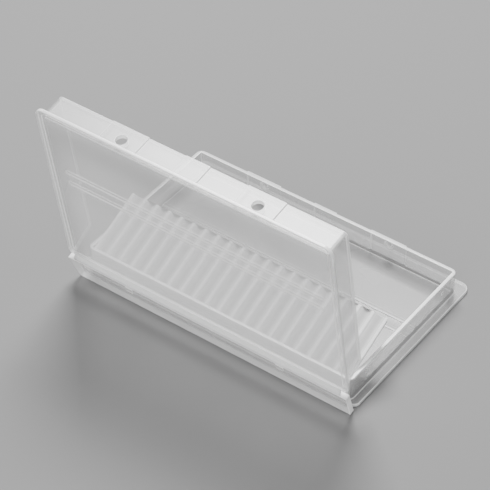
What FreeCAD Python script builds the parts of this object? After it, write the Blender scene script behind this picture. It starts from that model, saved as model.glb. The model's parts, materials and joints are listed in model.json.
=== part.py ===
"""Hinged polypropylene queen cage case with a tilting fluted rack.

Millimetres, +Z up.  The origin is the centre of the base tray's underside.
X runs along the hinge line and +Y points from the hinge side to the catch side.
The case is built open, as it stands on a bench: the spine leans out until its
lower edge meets the bench, and the lid stands up from it.
"""
import FreeCAD, Part
import os
import Sketcher

SIZES = {
    # base tray
    "plate_length": 134.8,       # both shells, along the hinge
    "plate_width": 82.6,         # base, hinge side to catch side
    "plate_thick": 1.5,
    "corner_radius": 4.0,        # catch side corners of both plates
    "hinge_radius": 3.0,         # hinge side corners of the base plate
    "wall_length": 128.0,        # outside of the base walls
    "wall_front_inset": 1.35,    # plate edge to the hinge side wall
    "wall_back_inset": 5.7,      # plate edge to the catch side wall
    "wall_thick": 1.5,
    "rim_height": 12.2,
    "wall_radius": 2.5,          # outside corners of the base walls
    # catch pads and snap buttons
    "catch_spacing": 62.0,       # between the two snap buttons
    "catch_height": 8.2,         # of a button's centre above the bench
    "button_radius": 2.0,
    "button_reach": 0.9,         # beyond its pad
    "dimple_radius": 1.1,
    "dimple_depth": 0.45,
    "pad_length": 17.0,
    "middle_pad_length": 11.0,
    "pad_thick": 0.45,
    "nub_spacing": 53.0,         # grip nubs on the base side walls
    "nub_height": 8.6,
    "nub_radius": 0.8,
    "nub_reach": 0.25,
    # twin ribs across the inside of the floor and of the lid
    "rib_from_catch": 33.0,      # plate edge to the first rib's centre
    "rib_pitch": 6.0,
    "rib_width": 2.0,
    "rib_height": 0.5,
    "lid_rib_length": 119.4,
    # hinges
    "hinge_gap": 0.6,            # plate edge out to the base hinge line
    "hinge_height": 0.6,         # base hinge line above the bench
    "web_thick": 0.3,
    "web_clearance": 0.15,
    "spine_gap": 0.5,            # base hinge line out to the spine's inner face
    "spine_thick": 2.5,
    "spine_foot": 0.35,          # base hinge line up to the spine's lower face
    "spine_slant": 3.0,          # cut off the foot of the spine's left end
    "spine_top_gap": 1.6,        # spine's upper face up to the lid hinge line
    "lug_spacing": 73.0,
    "lug_length": 3.5,
    "lug_height": 2.6,
    "lug_reach": 0.35,
    "lid_hinge_out": 1.3,        # base hinge line out to the lid hinge line, closed
    "rim_clearance": 0.6,        # base rim up to the lid plate, closed
    "spine_lean": 17.5,          # degrees outward from upright
    "lid_angle": 99.7,           # degrees from closed
    # lid tray
    "lid_edge_gap": 0.3,         # lid hinge line to the lid plate
    "lid_skin_over": 0.2,        # lid hinge line up to the lid's outer face, closed
    "lid_overhang": 0.2,         # past the base plate at the catch side
    "side_clearance": 0.4,       # base side wall to lid side wall
    "catch_clearance": 0.8,      # base catch wall to lid catch wall
    "lid_wall_thick": 1.4,
    "lid_hinge_radius": 2.0,     # hinge side corners of the lid plate
    "lid_wall_radius": 2.0,      # outside corners of the lid walls
    "foot_clearance": 0.3,       # base plate to the lid walls' edge
    "lid_pad_thick": 0.5,
    "hole_clearance": 0.3,       # snap hole over snap button, radial
    "cut_start": 1.2,            # side wall's slanted end, from the lid plate's edge
    "cut_run": 4.4,              # and its run towards the catch side
    # rack
    "rack_clearance": 0.4,       # at each end, to the base side walls
    "rack_inset": 2.45,          # hinge side wall's inner face to the rack pivot
    "pivot_height": 10.6,
    "rack_front": 1.6,           # pivot to the rack's hinge side edge
    "rack_reach": 26.4,          # pivot to the rack's raised edge
    "rack_angle": 23.9,          # degrees up from flat
    "flute_pitch": 6.15,
    "crest_width": 1.2,
    "flute_depth": 1.5,
    "flute_skin": 1.1,
    "crest_height": 1.6,         # pivot to the top of the crests
    "rack_radius": 1.8,
    "pin_radius": 0.8,
    "pin_clearance": 0.08,
    "pin_length": 1.2,
    "socket_depth": 1.0,
}

doc = FreeCAD.newDocument("queen_cage_case")
sheet = doc.addObject("Spreadsheet::Sheet", "Sizes")
for row, (alias, value) in enumerate(SIZES.items(), start=1):
    sheet.set(f"A{row}", alias)
    sheet.set(f"B{row}", str(value))
    sheet.setAlias(f"B{row}", alias)
draft = doc.addObject("Spreadsheet::Sheet", "Draft")
doc.recompute()

BODIES = []

# From the base hinge line up to the lid hinge line, closed, and the spine between them.
HINGE_UP = "(rim_height + rim_clearance + plate_thick - lid_skin_over - hinge_height)"
SPINE_HEIGHT = f"({HINGE_UP} - spine_foot - spine_top_gap)"


def expr(text):
    """Point every size name in an expression at the sheet."""
    for mark in "()+-*/^":
        text = text.replace(mark, f" {mark} ")
    words = [f"Sizes.{word}" if word in SIZES else word for word in text.split()]
    return " ".join(words).replace(" (", "(")


def value_of(text):
    """Work an expression out once, to draw a sketch near its final shape."""
    draft.set("A1", "=" + expr(text))
    draft.recompute()
    return float(draft.get("A1"))


def new_body(name):
    body = doc.addObject("PartDesign::Body", name)
    body.Label = name
    BODIES.append(body)
    return body


def new_sketch(body, name, plane, offset):
    """A sketch on one of the body's own planes, moved along the plane's normal."""
    sketch = body.newObject("Sketcher::SketchObject", name)
    support = [part for part in body.Origin.OriginFeatures if part.Role == plane][0]
    sketch.AttachmentSupport = [(support, "")]
    sketch.MapMode = "FlatFace"
    sketch.setExpression("AttachmentOffset.Base.z", expr(offset))
    return sketch


def fix_point(sketch, item, end, across, up):
    """Hold a point of a sketch at two distances from the sketch's origin."""
    for kind, text in (("DistanceX", across), ("DistanceY", up)):
        index = sketch.addConstraint(
            Sketcher.Constraint(kind, -1, 1, item, end, value_of(text)))
        sketch.setExpression(f"Constraints[{index}]", expr(text))


def polygon(sketch, corners):
    """A closed outline whose corners are pairs of expressions."""
    points = [FreeCAD.Vector(value_of(x), value_of(y), 0) for x, y in corners]
    first = len(sketch.Geometry)
    count = len(points)
    for i in range(count):
        sketch.addGeometry(Part.LineSegment(points[i], points[(i + 1) % count]), False)
    for i in range(count):
        sketch.addConstraint(
            Sketcher.Constraint("Coincident", first + i, 2, first + (i + 1) % count, 1))
    for i, (x, y) in enumerate(corners):
        fix_point(sketch, first + i, 1, x, y)


def rectangle(sketch, left, right, low, high):
    polygon(sketch, [(left, low), (right, low), (right, high), (left, high)])


def circle(sketch, across, up, radius):
    centre = FreeCAD.Vector(value_of(across), value_of(up), 0)
    item = sketch.addGeometry(
        Part.Circle(centre, FreeCAD.Vector(0, 0, 1), value_of(radius)), False)
    fix_point(sketch, item, 3, across, up)
    index = sketch.addConstraint(
        Sketcher.Constraint("Radius", item, value_of(radius)))
    sketch.setExpression(f"Constraints[{index}]", expr(radius))


def pad(body, sketch, length, reverse=False):
    feature = body.newObject("PartDesign::Pad", sketch.Name + "_pad")
    feature.Profile = sketch
    feature.Reversed = reverse
    feature.setExpression("Length", expr(length))
    doc.recompute()
    return feature


def pocket(body, sketch, length, reverse=False):
    before = body.Shape.Volume
    feature = body.newObject("PartDesign::Pocket", sketch.Name + "_pocket")
    feature.Profile = sketch
    feature.Reversed = reverse
    feature.setExpression("Length", expr(length))
    doc.recompute()
    if not body.Shape.Volume < before:
        raise RuntimeError(f"{feature.Name} cut nothing")
    return feature


def round_upright(body, name, radius, pick):
    """Fillet the edges along the body's own Z that pick(x, y, z) chooses."""
    base = body.Tip
    names = []
    for index, edge in enumerate(base.Shape.Edges, start=1):
        box = edge.BoundBox
        upright = box.ZLength > 0.2 and box.XLength < 1e-6 and box.YLength < 1e-6
        if upright and pick(box.Center.x, box.Center.y, box.Center.z):
            names.append(f"Edge{index}")
    feature = body.newObject("PartDesign::Fillet", name)
    feature.Base = (base, names)
    feature.setExpression("Radius", expr(radius))
    doc.recompute()
    return feature


def repeat(body, feature, name, plane_axis, count, length):
    """Repeat a feature along one of the body's own axes."""
    pattern = body.newObject("PartDesign::LinearPattern", name)
    pattern.Originals = [feature]
    axis = [part for part in body.Origin.OriginFeatures if part.Role == plane_axis][0]
    pattern.Direction = (axis, [""])
    pattern.setExpression("Length", expr(length))
    pattern.setExpression("Occurrences", expr(count))
    body.Tip = pattern
    doc.recompute()
    return pattern


# Base tray -----------------------------------------------------------------
WALL_FRONT = "wall_front_inset - plate_width / 2"
WALL_BACK = "plate_width / 2 - wall_back_inset"

base = new_body("base_tray")
outline = new_sketch(base, "base_plate", "XY_Plane", "0")
rectangle(outline, "-plate_length / 2", "plate_length / 2",
          "-plate_width / 2", "plate_width / 2")
pad(base, outline, "plate_thick")
round_upright(base, "base_catch_corners", "corner_radius", lambda x, y, z: y > 0)
round_upright(base, "base_hinge_corners", "hinge_radius", lambda x, y, z: y < 0)

walls = new_sketch(base, "base_walls", "XY_Plane", "plate_thick")
rectangle(walls, "-wall_length / 2", "wall_length / 2", WALL_FRONT, WALL_BACK)
pad(base, walls, "rim_height - plate_thick")
wall_corner = SIZES["wall_length"] / 2 - 0.01
round_upright(base, "base_wall_corners", "wall_radius",
              lambda x, y, z: abs(x) > wall_corner and z > SIZES["plate_thick"])

inside = new_sketch(base, "base_inside", "XY_Plane", "rim_height")
rectangle(inside, "wall_thick - wall_length / 2", "wall_length / 2 - wall_thick",
          f"{WALL_FRONT} + wall_thick", f"{WALL_BACK} - wall_thick")
pocket(base, inside, "rim_height - plate_thick")

for name, centre, length in (("left", "-catch_spacing / 2", "pad_length"),
                             ("right", "catch_spacing / 2", "pad_length"),
                             ("middle", "0", "middle_pad_length")):
    step = new_sketch(base, f"base_pad_{name}", "XY_Plane", "plate_thick")
    rectangle(step, f"{centre} - {length} / 2", f"{centre} + {length} / 2",
              f"{WALL_BACK} - wall_thick / 2", f"{WALL_BACK} + pad_thick")
    pad(base, step, "rim_height - plate_thick")

# The XZ plane's normal points along -Y, so a sketch on it grows towards -Y.
for name, side in (("left", "-"), ("right", "")):
    button = new_sketch(base, f"button_{name}", "XZ_Plane",
                        f"-({WALL_BACK} + pad_thick + button_reach)")
    circle(button, f"{side}catch_spacing / 2", "catch_height", "button_radius")
    pad(base, button, "button_reach + wall_thick / 2")
    dimple = new_sketch(base, f"dimple_{name}", "XZ_Plane",
                        f"-({WALL_BACK} + pad_thick + button_reach)")
    circle(dimple, f"{side}catch_spacing / 2", "catch_height", "dimple_radius")
    pocket(base, dimple, "dimple_depth", reverse=True)

MID_WALL = "(wall_front_inset - wall_back_inset) / 2"
for name, side, grow in (("left", "-", True), ("right", "", False)):
    nubs = new_sketch(base, f"nubs_{name}", "YZ_Plane",
                      f"{side}(wall_length / 2 - wall_thick / 2)")
    for end in ("-", "+"):
        circle(nubs, f"{MID_WALL} {end} nub_spacing / 2", "nub_height", "nub_radius")
    pad(base, nubs, "wall_thick / 2 + nub_reach", reverse=grow)
    socket = new_sketch(base, f"socket_{name}", "YZ_Plane",
                        f"{side}(wall_length / 2 - wall_thick)")
    circle(socket, f"{WALL_FRONT} + wall_thick + rack_inset", "pivot_height",
           "pin_radius + pin_clearance")
    pocket(base, socket, "socket_depth", reverse=not grow)

for name, row in (("near_catch", "0"), ("near_hinge", "rib_pitch")):
    rib = new_sketch(base, f"floor_rib_{name}", "XY_Plane", "plate_thick")
    middle = f"plate_width / 2 - rib_from_catch - {row}"
    rectangle(rib, "wall_thick / 2 - wall_length / 2", "wall_length / 2 - wall_thick / 2",
              f"{middle} - rib_width / 2", f"{middle} + rib_width / 2")
    pad(base, rib, "rib_height")

# Base hinge web: the thin strip left on the base plate's edge ----------------
HINGE_Y = "-(plate_width / 2 + hinge_gap)"
base_web = new_body("base_hinge_web")
strip = new_sketch(base_web, "base_web_section", "YZ_Plane",
                   "hinge_radius - plate_length / 2")
rectangle(strip, f"{HINGE_Y} - spine_gap + web_clearance", "-plate_width / 2",
          "hinge_height - web_thick / 2", "hinge_height + web_thick / 2")
pad(base_web, strip, "plate_length - 2 * hinge_radius")

# Spine, drawn upright about the base hinge line, then leaned outwards ----------
SPINE_OUT = "-(spine_gap + spine_thick)"
spine = new_body("spine")
section = new_sketch(spine, "spine_face", "XY_Plane", "spine_foot")
rectangle(section, "-plate_length / 2", "plate_length / 2", SPINE_OUT, "-spine_gap")
pad(spine, section, SPINE_HEIGHT)
for name, side in (("left", "-"), ("right", "")):
    lug = new_sketch(spine, f"spine_lug_{name}", "XY_Plane",
                     f"spine_foot + {SPINE_HEIGHT} - lug_height")
    middle = f"{side}lug_spacing / 2"
    rectangle(lug, f"{middle} - lug_length / 2", f"{middle} + lug_length / 2",
              f"{SPINE_OUT} - lug_reach", f"{SPINE_OUT} + spine_thick / 2")
    pad(spine, lug, "lug_height")

slant = new_sketch(spine, "spine_slanted_end", "XZ_Plane", f"-({SPINE_OUT}) + 1")
polygon(slant, [("-plate_length / 2", f"spine_foot + {SPINE_HEIGHT}"),
                ("-plate_length / 2 - 1", "spine_foot - 1"),
                ("-plate_length / 2 + spine_slant", "spine_foot - 1"),
                ("-plate_length / 2 + spine_slant", "spine_foot")])
pocket(spine, slant, "spine_thick + 2")

# Lid hinge web: stands on the spine's upper face ---------------------------------
lid_web = new_body("lid_hinge_web")
ridge = new_sketch(lid_web, "lid_web_section", "YZ_Plane",
                   "hinge_radius - plate_length / 2")
rectangle(ridge, "-lid_hinge_out - web_thick", "-lid_hinge_out",
          f"spine_foot + {SPINE_HEIGHT}", f"{HINGE_UP} - web_clearance")
pad(lid_web, ridge, "plate_length - 2 * hinge_radius")

# Lid tray, drawn closed about the lid hinge line, then opened -----------------------
LID_FREE = "plate_width + hinge_gap + lid_hinge_out + lid_overhang"
LID_IN = "lid_skin_over - plate_thick"
LID_WALL_IN = "plate_width - wall_back_inset + hinge_gap + lid_hinge_out + catch_clearance"
LID_WALL_OUT = f"{LID_WALL_IN} + lid_wall_thick"
LID_FOOT = f"plate_thick + foot_clearance - hinge_height - {HINGE_UP}"
SIDE_IN = "wall_length / 2 + side_clearance"
SIDE_OUT = f"{SIDE_IN} + lid_wall_thick"

lid = new_body("lid_tray")
lid_outline = new_sketch(lid, "lid_plate", "XY_Plane", LID_IN)
rectangle(lid_outline, "-plate_length / 2", "plate_length / 2", "lid_edge_gap", LID_FREE)
pad(lid, lid_outline, "plate_thick")
round_upright(lid, "lid_catch_corners", "corner_radius", lambda x, y, z: y > 1)
round_upright(lid, "lid_hinge_corners", "lid_hinge_radius", lambda x, y, z: y < 1)

catch_wall = new_sketch(lid, "lid_catch_wall", "XY_Plane", LID_FOOT)
rectangle(catch_wall, f"-({SIDE_OUT})", SIDE_OUT, LID_WALL_IN, LID_WALL_OUT)
pad(lid, catch_wall, f"{LID_IN} - ({LID_FOOT}) + plate_thick / 2")

for name, side in (("left", "-"), ("right", "")):
    end_wall = new_sketch(lid, f"lid_wall_{name}", "YZ_Plane", f"{side}({SIDE_IN})")
    polygon(end_wall, [
        ("lid_edge_gap + cut_start", "lid_skin_over - plate_thick / 2"),
        ("lid_edge_gap + cut_start", LID_IN),
        ("lid_edge_gap + cut_start + cut_run", LID_FOOT),
        (f"{LID_WALL_IN} + lid_wall_thick / 2", LID_FOOT),
        (f"{LID_WALL_IN} + lid_wall_thick / 2", "lid_skin_over - plate_thick / 2")])
    pad(lid, end_wall, "lid_wall_thick", reverse=side == "-")

for name, centre, length in (("left", "-catch_spacing / 2", "pad_length"),
                             ("right", "catch_spacing / 2", "pad_length"),
                             ("middle", "0", "middle_pad_length")):
    step = new_sketch(lid, f"lid_pad_{name}", "XY_Plane", LID_FOOT)
    rectangle(step, f"{centre} - {length} / 2", f"{centre} + {length} / 2",
              f"{LID_WALL_OUT} - lid_wall_thick / 2", f"{LID_WALL_OUT} + lid_pad_thick")
    pad(lid, step, f"{LID_IN} - ({LID_FOOT}) + plate_thick / 2")

holes = new_sketch(lid, "snap_holes", "XZ_Plane",
                   f"-({LID_WALL_OUT} + lid_pad_thick + 1)")
for side in ("-", ""):
    circle(holes, f"{side}catch_spacing / 2",
           f"catch_height - hinge_height - {HINGE_UP}", "button_radius + hole_clearance")
pocket(lid, holes, "lid_wall_thick + lid_pad_thick + 2", reverse=True)

for name, row in (("near_catch", "0"), ("near_hinge", "rib_pitch")):
    rib = new_sketch(lid, f"lid_rib_{name}", "XY_Plane", f"{LID_IN} - rib_height")
    middle = f"{LID_FREE} - lid_overhang - rib_from_catch - {row}"
    rectangle(rib, "-lid_rib_length / 2", "lid_rib_length / 2",
              f"{middle} - rib_width / 2", f"{middle} + rib_width / 2")
    pad(lid, rib, "rib_height")
wall_end = SIZES["wall_length"] / 2 + SIZES["side_clearance"] + SIZES["lid_wall_thick"]
round_upright(lid, "lid_wall_corners", "lid_wall_radius",
              lambda x, y, z: abs(abs(x) - wall_end) < 0.01 and y > 10 and z < -2)
rib_end = SIZES["lid_rib_length"] / 2
round_upright(lid, "lid_rib_ends", "rib_width / 2 - 0.1",
              lambda x, y, z: abs(abs(x) - rib_end) < 0.01)

# Rack, drawn flat about its pivot line, then tilted ---------------------------------
RACK_END = "wall_length / 2 - wall_thick - rack_clearance"
FLUTE_WIDTH = "(flute_pitch - crest_width)"
FLUTE_RADIUS = f"({FLUTE_WIDTH} ^ 2 / 4 + flute_depth ^ 2) / (2 * flute_depth)"
FLUTE_CENTRE = f"crest_height - flute_depth + {FLUTE_RADIUS}"
FLUTES = f"floor(2 * ({RACK_END}) / flute_pitch)"
FIRST_FLUTE = f"-({FLUTES} - 1) * flute_pitch / 2"

rack = new_body("rack")
deck = new_sketch(rack, "rack_deck", "XY_Plane", "crest_height - flute_skin")
rectangle(deck, f"-({RACK_END})", RACK_END, "-rack_front", "rack_reach")
pad(rack, deck, "flute_skin")
round_upright(rack, "rack_corners", "rack_radius", lambda x, y, z: y > 0)
shell = new_sketch(rack, "flute_outside", "XZ_Plane", "rack_front")
circle(shell, FIRST_FLUTE, FLUTE_CENTRE, f"{FLUTE_RADIUS} + flute_skin")
shell_pad = pad(rack, shell, "rack_front + rack_reach", reverse=True)
repeat(rack, shell_pad, "flute_outsides", "X_Axis", FLUTES,
       f"({FLUTES} - 1) * flute_pitch")
trim = new_sketch(rack, "crest_trim", "XY_Plane", "crest_height")
rectangle(trim, "-wall_length", "wall_length", "-2 * rack_reach", "2 * rack_reach")
pocket(rack, trim, "2 * flute_pitch", reverse=True)
hollow = new_sketch(rack, "flute_inside", "XZ_Plane", "rack_front + 1")
circle(hollow, FIRST_FLUTE, FLUTE_CENTRE, FLUTE_RADIUS)
hollow_cut = pocket(rack, hollow, "rack_front + rack_reach + 2")
repeat(rack, hollow_cut, "flute_insides", "X_Axis", FLUTES,
       f"({FLUTES} - 1) * flute_pitch")
for name, side, grow in (("left", "-", True), ("right", "", False)):
    pin = new_sketch(rack, f"pivot_pin_{name}", "YZ_Plane", f"{side}({RACK_END} - 1.5)")
    circle(pin, "0", "0", "pin_radius")
    pad(rack, pin, "pin_length + 1.5", reverse=grow)

# Places -----------------------------------------------------------------------------
LEAN = "spine_lean * 1 deg"
ABOUT_X = FreeCAD.Vector(1, 0, 0)
for body, angle, along, up in (
        (spine, "spine_lean", HINGE_Y, "hinge_height"),
        (lid_web, "spine_lean", HINGE_Y, "hinge_height"),
        (lid, "lid_angle",
         f"{HINGE_Y} - lid_hinge_out * cos({LEAN}) - {HINGE_UP} * sin({LEAN})",
         f"hinge_height - lid_hinge_out * sin({LEAN}) + {HINGE_UP} * cos({LEAN})"),
        (rack, "rack_angle", f"{WALL_FRONT} + wall_thick + rack_inset", "pivot_height")):
    body.Placement = FreeCAD.Placement(FreeCAD.Vector(), FreeCAD.Rotation(ABOUT_X, 10))
    body.setExpression("Placement.Rotation.Angle", expr(angle))
    body.setExpression("Placement.Base.y", expr(along))
    body.setExpression("Placement.Base.z", expr(up))

doc.removeObject("Draft")
doc.recompute()
for item in doc.Objects:
    if "Invalid" in item.State or "Error" in item.State:
        raise RuntimeError(f"{item.Name} failed: {item.State}")

os.makedirs("parts", exist_ok=True)
for body in BODIES:
    shape = body.Shape
    if shape.isNull() or not shape.isValid() or len(shape.Solids) != 1:
        raise RuntimeError(f"{body.Label} is not one sound solid")
    shape.exportStep(f"parts/{body.Label}.step")
    print(body.Label, round(shape.Volume, 2), shape.BoundBox)
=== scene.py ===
"""Look of the queen cage case: translucent moulded polypropylene, standing open on a pale bench."""
import json
import math

import bmesh
import bpy
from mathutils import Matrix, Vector
from mathutils.bvhtree import BVHTree


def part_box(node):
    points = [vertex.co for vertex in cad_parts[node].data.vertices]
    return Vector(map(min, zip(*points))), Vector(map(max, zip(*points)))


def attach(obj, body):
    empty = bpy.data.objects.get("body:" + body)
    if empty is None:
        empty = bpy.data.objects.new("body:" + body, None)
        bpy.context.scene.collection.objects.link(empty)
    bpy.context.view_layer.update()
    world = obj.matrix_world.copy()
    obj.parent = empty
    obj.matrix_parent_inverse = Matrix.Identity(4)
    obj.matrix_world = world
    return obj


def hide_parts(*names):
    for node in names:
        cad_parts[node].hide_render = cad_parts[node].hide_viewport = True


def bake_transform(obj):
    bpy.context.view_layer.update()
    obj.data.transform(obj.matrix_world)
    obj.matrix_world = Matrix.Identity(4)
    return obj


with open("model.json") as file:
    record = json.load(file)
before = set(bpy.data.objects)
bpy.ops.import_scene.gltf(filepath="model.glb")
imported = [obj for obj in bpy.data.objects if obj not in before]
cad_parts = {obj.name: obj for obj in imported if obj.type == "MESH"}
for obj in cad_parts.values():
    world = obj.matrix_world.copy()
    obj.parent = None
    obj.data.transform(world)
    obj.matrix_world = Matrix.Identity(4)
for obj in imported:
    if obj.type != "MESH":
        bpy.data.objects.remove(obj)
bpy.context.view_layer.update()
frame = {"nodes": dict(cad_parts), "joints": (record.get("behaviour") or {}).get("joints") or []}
MM = 0.001
FLUTE_PAINTED_SHADE = "c2c2c2"    # painted shade at the bottom of the rack's flutes
FLUTE_PITCH = 6.15 * MM
HINGE_THICK = 0.3 * MM
HINGE_PARTS = 80         # lengths that a living hinge is drawn in
STEP_HEIGHT = 0.7 * MM   # ribs, pads and buttons stand out less than this
PANEL, EDGE, THICK = 0, 1, 2   # material slots of every moulded piece


# Colours, shader nodes and materials -------------------------------------------------

def colour(code, alpha=1.0):
    """Linear RGBA of an sRGB hex code such as "e9ebec"."""
    out = []
    for i in (0, 2, 4):
        c = int(code[i:i + 2], 16) / 255
        out.append(c / 12.92 if c <= 0.04045 else ((c + 0.055) / 1.055) ** 2.4)
    return (*out, alpha)


def add(tree, kind, settings=None, links=None):
    """Adds a shader node, sets its sockets or properties and links what feeds it."""
    node = tree.nodes.new(kind)
    for name, value in (settings or {}).items():
        if name in node.inputs:
            node.inputs[name].default_value = value
        else:
            setattr(node, name, value)
    for name, source in (links or {}).items():
        tree.links.new(source, node.inputs[name])
    return node


def new_material(name):
    """An empty node material and its output node."""
    mat = bpy.data.materials.new(name)
    mat.use_nodes = True
    mat.node_tree.nodes.clear()
    return mat, mat.node_tree, mat.node_tree.nodes.new("ShaderNodeOutputMaterial")


def polypropylene(name, code, opacity, roughness, glow, tint, flute=None):
    """Natural, uncoloured polypropylene. Each surface lets part of the light straight
    through. The rest scatters in the milky bulk, some of it (glow) out of the far side."""
    mat, tree, out = new_material(name)
    place = add(tree, "ShaderNodeTexCoord")
    # Flow marks left where the melt ran: long soft bands, tens of millimetres across
    bands = add(tree, "ShaderNodeTexNoise", {"Scale": 1 / (30 * MM), "Detail": 2.0},
                {"Vector": place.outputs["Object"]})
    haze = add(tree, "ShaderNodeMapRange",
               {"From Min": 0.3, "From Max": 0.7, "To Min": opacity - 0.03,
                "To Max": opacity + 0.03}, {"Value": bands.outputs["Fac"]})
    # The mould's fine spark finish, under a millimetre
    grain = add(tree, "ShaderNodeTexNoise", {"Scale": 1 / (0.9 * MM), "Detail": 3.0},
                {"Vector": place.outputs["Object"]})
    bump = add(tree, "ShaderNodeBump", {"Strength": 0.08, "Distance": 0.02 * MM},
               {"Height": grain.outputs["Fac"]})
    surface = add(tree, "ShaderNodeBsdfPrincipled",
                  {"Base Color": colour(code), "Roughness": roughness, "IOR": 1.49},
                  {"Normal": bump.outputs["Normal"]})
    if flute:
        # Painted shade: the base colour runs from white on the crests to grey down the flutes
        where = add(tree, "ShaderNodeSeparateXYZ", {}, {"Vector": place.outputs["Object"]})
        turns = add(tree, "ShaderNodeMath", {"operation": "MULTIPLY"},
                    {0: where.outputs["X"]})
        turns.inputs[1].default_value = 2 * math.pi / flute
        wave = add(tree, "ShaderNodeMath", {"operation": "COSINE"}, {0: turns.outputs[0]})
        shade = add(tree, "ShaderNodeMapRange", {"From Min": -1.0, "From Max": 1.0},
                    {"Value": wave.outputs[0]})
        flute_painted_shade = add(tree, "ShaderNodeMix", {"data_type": "RGBA"})
        flute_painted_shade.inputs[6].default_value = colour(FLUTE_PAINTED_SHADE)
        flute_painted_shade.inputs[7].default_value = colour(code)
        tree.links.new(shade.outputs["Result"], flute_painted_shade.inputs[0])
        tree.links.new(flute_painted_shade.outputs[2], surface.inputs["Base Color"])
    through = add(tree, "ShaderNodeBsdfTransparent", {"Color": colour(tint)})
    bulk = add(tree, "ShaderNodeBsdfTranslucent", {"Color": colour(code)})
    milk = add(tree, "ShaderNodeMixShader", {"Fac": glow})
    tree.links.new(surface.outputs["BSDF"], milk.inputs[1])
    tree.links.new(bulk.outputs["BSDF"], milk.inputs[2])
    body = add(tree, "ShaderNodeMixShader", {}, {"Fac": haze.outputs["Result"]})
    tree.links.new(through.outputs["BSDF"], body.inputs[1])
    tree.links.new(milk.outputs["Shader"], body.inputs[2])
    # Clear gloss over both, stronger at a glancing angle
    gloss = add(tree, "ShaderNodeBsdfAnisotropic", {"Roughness": roughness},
                {"Normal": bump.outputs["Normal"]})
    # The same glancing gloss on a wall's far surface, which light leaves without bending here
    side = add(tree, "ShaderNodeNewGeometry")
    bend = add(tree, "ShaderNodeMapRange", {"To Min": 1.49, "To Max": 1 / 1.49},
               {"Value": side.outputs["Backfacing"]})
    sheen = add(tree, "ShaderNodeFresnel", {}, {"IOR": bend.outputs["Result"]})
    coat = add(tree, "ShaderNodeMixShader", {}, {"Fac": sheen.outputs["Fac"]})
    tree.links.new(body.outputs["Shader"], coat.inputs[1])
    tree.links.new(gloss.outputs["BSDF"], coat.inputs[2])
    tree.links.new(coat.outputs["Shader"], out.inputs["Surface"])
    return mat


def matt(name, code, roughness):
    """A plain matt surface with a faint unevenness."""
    mat, tree, out = new_material(name)
    place = add(tree, "ShaderNodeTexCoord")
    grain = add(tree, "ShaderNodeTexNoise", {"Scale": 1 / (3 * MM), "Detail": 4.0},
                {"Vector": place.outputs["Object"]})
    bump = add(tree, "ShaderNodeBump", {"Strength": 0.05, "Distance": 0.1 * MM},
               {"Height": grain.outputs["Fac"]})
    shader = add(tree, "ShaderNodeBsdfPrincipled",
                 {"Base Color": colour(code), "Roughness": roughness},
                 {"Normal": bump.outputs["Normal"]})
    tree.links.new(shader.outputs["BSDF"], out.inputs["Surface"])
    return mat


# The case is one moulding: clear in its thin panels, milkier where the sight line runs
# through more plastic, and whitest on its edges, partly a painted highlight for the light
# carried along the plates. The fluted rack is moulded milkier.
SHELL = polypropylene("shell_panel", "fafafa", opacity=0.24, roughness=0.25, glow=0.40,
                      tint="f0f0f0")
SHELL_THICK = polypropylene("shell_thick", "fcfcfc", opacity=0.55, roughness=0.25, glow=0.35,
                            tint="fcfcfc")
SHELL_EDGE_HIGHLIGHT = polypropylene("shell_edge_highlight", "ffffff", opacity=0.95, roughness=0.25, glow=0.30,
                           tint="ffffff")
RACK = polypropylene("rack_panel", "ffffff", opacity=0.80, roughness=0.25, glow=0.10,
                     tint="fafafa", flute=FLUTE_PITCH)
RACK_EDGE_HIGHLIGHT = polypropylene("rack_edge_highlight", "ffffff", opacity=0.92, roughness=0.25, glow=0.20,
                          tint="fdfdfd")
# The upper hinge web's near-opaque white is a painted highlight along the hinge line, for light
# carried down the lid plate
HINGE_HIGHLIGHT = polypropylene("hinge_web", "ffffff", opacity=0.95, roughness=0.15, glow=0.45,
                      tint="ffffff")
BENCH = matt("pale_bench", "6e6e6e", roughness=0.75)


# Shapes ------------------------------------------------------------------------------

def edge_weights(bm, radius):
    """How much of the full edge radius each edge has room for, from 0 to 1. Only edges
    whose faces turn by 35 degrees or more are rounded. A face as narrow as a rib's side has
    a radius on both of its edges, so each takes a little under half of it."""
    bm.edges.ensure_lookup_table()
    weights = []
    for edge in bm.edges:
        if len(edge.link_faces) != 2 or edge.calc_face_angle(0) < math.radians(35):
            weights.append(0.0)
            continue
        along = (edge.verts[1].co - edge.verts[0].co).normalized()
        room = 1.0
        for vert in edge.verts:
            for other in vert.link_edges:
                run = other.other_vert(vert).co - vert.co
                across = (run - along * run.dot(along)).length
                if other is not edge and across > 0.35 * run.length:
                    room = min(room, 0.42 * across / radius)
        weights.append(max(room, 0.0))
    return weights


def is_step(face):
    """Whether a face is the narrow side of a rib, a pad or a button, and not a sliver of a
    flat wall. The sides of a button turn only a few degrees from one face to the next."""
    side = max(face.edges, key=lambda edge: edge.calc_length())
    length = side.calc_length()
    least_turn = 20 if length > 2 * MM else 4
    narrow = face.calc_area() / length < STEP_HEIGHT
    return narrow and side.calc_face_angle(0) > math.radians(least_turn)


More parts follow.
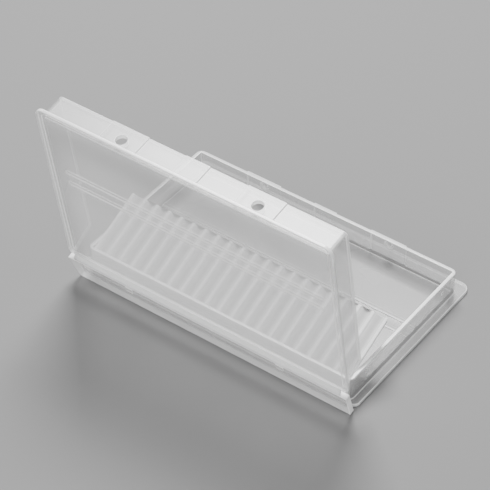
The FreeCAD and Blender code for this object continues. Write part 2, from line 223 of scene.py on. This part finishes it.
def moulded(node, body, panel, thick, edge, radius, wall, painted_light_y=-1.0):
    """The CAD piece with the small edge radii that a moulding comes out with. Faces with
    more plastic behind them than a wall's thickness look milkier, as cut edges do. Edges
    and steps take the white edge material, partly a painted highlight for light carried along
    the plates. The wall beside a hinge (its faces with y under the given limit) is painted
    bright the same way, standing in for the light scattered in it."""
    mesh = frame["nodes"][node].data.copy()
    mesh.name = node + "_moulded"
    bm = bmesh.new()
    bm.from_mesh(mesh)
    bmesh.ops.remove_doubles(bm, verts=bm.verts, dist=0.002 * MM)
    bmesh.ops.dissolve_limit(bm, angle_limit=math.radians(0.6), verts=bm.verts,
                             edges=bm.edges, delimit=set())
    weights = edge_weights(bm, radius)
    steps = [is_step(face) for face in bm.faces]
    bm.to_mesh(mesh)
    bm.free()
    store = mesh.attributes.new("bevel_weight_edge", "FLOAT", "EDGE")
    for item, weight in zip(store.data, weights):
        item.value = weight
    piece = bpy.data.objects.new(node + "_moulded", mesh)
    bpy.context.scene.collection.objects.link(piece)
    mesh.materials.clear()
    for material in (panel, edge, thick):
        mesh.materials.append(material)
    solid = BVHTree.FromPolygons([v.co for v in mesh.vertices],
                                 [list(f.vertices) for f in mesh.polygons])
    for face, step in zip(mesh.polygons, steps):
        face.use_smooth = True
        hit = solid.ray_cast(face.center - face.normal * 0.01 * MM, -face.normal)
        deep = hit[3] is not None and hit[3] > wall
        # Painted light: the hinge-side wall is given the white edge material so it reads bright
        painted_bright_wall = face.center.y < painted_light_y and abs(face.normal.y) > 0.9
        # Steps take the white edge material, which is partly a painted highlight for light carried
        # along the plates to their edges
        face.material_index = EDGE if step or painted_bright_wall else THICK if deep else PANEL
    bevel = piece.modifiers.new("edge radius", "BEVEL")
    bevel.width = radius
    bevel.segments = 2
    bevel.limit_method = "WEIGHT"
    bevel.use_clamp_overlap = False
    bevel.harden_normals = True
    # The bevelled edges take the white edge material too, partly a painted highlight
    bevel.material = EDGE
    flat = piece.modifiers.new("flat faces stay flat", "WEIGHTED_NORMAL")
    flat.mode = "FACE_AREA"
    flat.weight = 100
    flat.keep_sharp = True
    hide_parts(node)
    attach(piece, body)
    return piece


def strip(name, path, half_length, thick, material):
    """A thin web along X whose section follows the path of (y, z) points."""
    bm = bmesh.new()
    rows = []
    for part in range(HINGE_PARTS + 1):
        x = half_length * (2 * part / HINGE_PARTS - 1)
        ring = []
        for i, (y, z) in enumerate(path):
            a, b = path[max(i - 1, 0)], path[min(i + 1, len(path) - 1)]
            run = Vector((b[0] - a[0], b[1] - a[1])).normalized()
            for side in (-1, 1):
                off = side * thick / 2
                ring.append(bm.verts.new((x, y - run.y * off, z + run.x * off)))
        low, high = ring[0::2], ring[1::2]
        rows.append(low + high[::-1])
    for a, b in zip(rows, rows[1:]):
        n = len(a)
        for i in range(n):
            bm.faces.new((a[i], a[(i + 1) % n], b[(i + 1) % n], b[i]))
    bm.faces.new(rows[0][::-1])
    bm.faces.new(rows[-1])
    bmesh.ops.recalc_face_normals(bm, faces=bm.faces)
    mesh = bpy.data.meshes.new(name)
    bm.to_mesh(mesh)
    bm.free()
    mesh.materials.append(material)
    for face in mesh.polygons:
        face.use_smooth = True
    piece = bpy.data.objects.new(name, mesh)
    bpy.context.scene.collection.objects.link(piece)
    return piece


# Main pieces, each with its edge radius and how much plastic reads as thick
# The base's hinge-side wall (below the given y) is painted bright with the white edge material
moulded("base_tray", "base", SHELL, SHELL_THICK, SHELL_EDGE_HIGHLIGHT,
        radius=0.30 * MM, wall=2.6 * MM, painted_light_y=-38.2 * MM)
# The spine's thick faces take the white edge material too: a painted highlight along the hinge
# line, for light carried down the lid plate
moulded("spine", "spine", SHELL, SHELL_EDGE_HIGHLIGHT, SHELL_EDGE_HIGHLIGHT,
        radius=0.20 * MM, wall=3.2 * MM)
moulded("lid_tray", "lid", SHELL, SHELL_THICK, SHELL_EDGE_HIGHLIGHT,
        radius=0.30 * MM, wall=2.6 * MM)
moulded("rack", "rack", RACK, RACK_EDGE_HIGHLIGHT, RACK_EDGE_HIGHLIGHT,
        radius=0.18 * MM, wall=2.6 * MM)

# Living hinges: thin webs that flex between the parts they join. Each path starts inside
# one part and ends inside the other. The upper web is on the outer side of its hinge line.
base_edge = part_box("base_tray")[0]
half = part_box("base_hinge_web")[1][0]
joints = {j["name"]: j for j in frame["joints"]}
pivot_a = Vector(joints["base_hinge"]["pos_m"])
pivot_b = Vector(joints["lid_hinge"]["pos_m"])

foot = (pivot_a.y - 0.70 * MM, pivot_a.z + 0.26 * MM)
lower = strip("lower_living_hinge",
              [(base_edge[1] + 0.4 * MM, pivot_a.z), (base_edge[1] - 0.05 * MM, pivot_a.z),
               (pivot_a.y + 0.25 * MM, pivot_a.z), (pivot_a.y, pivot_a.z + 0.02 * MM),
               (pivot_a.y - 0.30 * MM, pivot_a.z + 0.10 * MM), foot,
               (foot[0] - 0.3 * MM, foot[1] + 0.1 * MM)],
              half, HINGE_THICK, SHELL)
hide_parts("base_hinge_web")
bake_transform(lower)

# The upper web takes the near-opaque white hinge material: a painted highlight
upper = strip("upper_living_hinge",
              [(pivot_b.y - 0.62 * MM, pivot_b.z - 2.10 * MM),
               (pivot_b.y - 0.60 * MM, pivot_b.z - 1.45 * MM),
               (pivot_b.y - 0.50 * MM, pivot_b.z - 0.70 * MM),
               (pivot_b.y - 0.34 * MM, pivot_b.z),
               (pivot_b.y - 0.14 * MM, pivot_b.z + 0.45 * MM),
               (pivot_b.y + 0.10 * MM, pivot_b.z + 0.90 * MM)],
              half, HINGE_THICK, HINGE_HIGHLIGHT)
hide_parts("lid_hinge_web")
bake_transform(upper)

# Bench, light and camera ----------------------------------------------------------------

BENCH_HALF = 2.0
corners = [(-BENCH_HALF, -BENCH_HALF, 0), (BENCH_HALF, -BENCH_HALF, 0),
           (BENCH_HALF, BENCH_HALF, 0), (-BENCH_HALF, BENCH_HALF, 0)]
floor_mesh = bpy.data.meshes.new("bench")
floor_mesh.from_pydata(corners, [], [(0, 1, 2, 3)])
floor_mesh.materials.append(BENCH)
floor = bpy.data.objects.new("bench", floor_mesh)
bpy.context.scene.collection.objects.link(floor)


def softbox(name, place, aim, size, power):
    """A square diffused lamp pointing at a spot."""
    lamp = bpy.data.lights.new(name, "AREA")
    lamp.shape = "SQUARE"
    lamp.size = size
    lamp.energy = power
    obj = bpy.data.objects.new(name, lamp)
    obj.location = place
    turn = (Vector(aim) - Vector(place)).to_track_quat("-Z", "Y")
    obj.rotation_euler = turn.to_euler()
    bpy.context.scene.collection.objects.link(obj)


softbox("overhead softbox", (-0.35, 0.45, 0.95), (0, 0, 0), 0.45, 33)
softbox("side softbox", (0.9, 0.1, 0.55), (0, 0, 0.03), 0.5, 3)
softbox("front fill", (0.1, -1.1, 0.7), (0, 0, 0.04), 0.9, 13)

world = bpy.data.worlds.new("studio")
world.use_nodes = True
background = world.node_tree.nodes["Background"]
background.inputs["Color"].default_value = colour("f4f4f4")
background.inputs["Strength"].default_value = 0.32
bpy.context.scene.world = world

turn_deg, height_deg, distance = 36.1, 42.38, 0.9428
aim = Vector((-21.35, 8.98, 0.0)) * MM
turn, height = math.radians(turn_deg), math.radians(height_deg)
look = Vector((-math.sin(turn) * math.cos(height), math.cos(turn) * math.cos(height),
               -math.sin(height)))
lens = bpy.data.cameras.new("camera")
lens.lens = 168.8
lens.sensor_width = 36
lens.clip_start = 0.01
camera = bpy.data.objects.new("camera", lens)
camera.location = aim - look * distance
camera.rotation_euler = look.to_track_quat("-Z", "Y").to_euler()
bpy.context.scene.collection.objects.link(camera)
bpy.context.scene.camera = camera
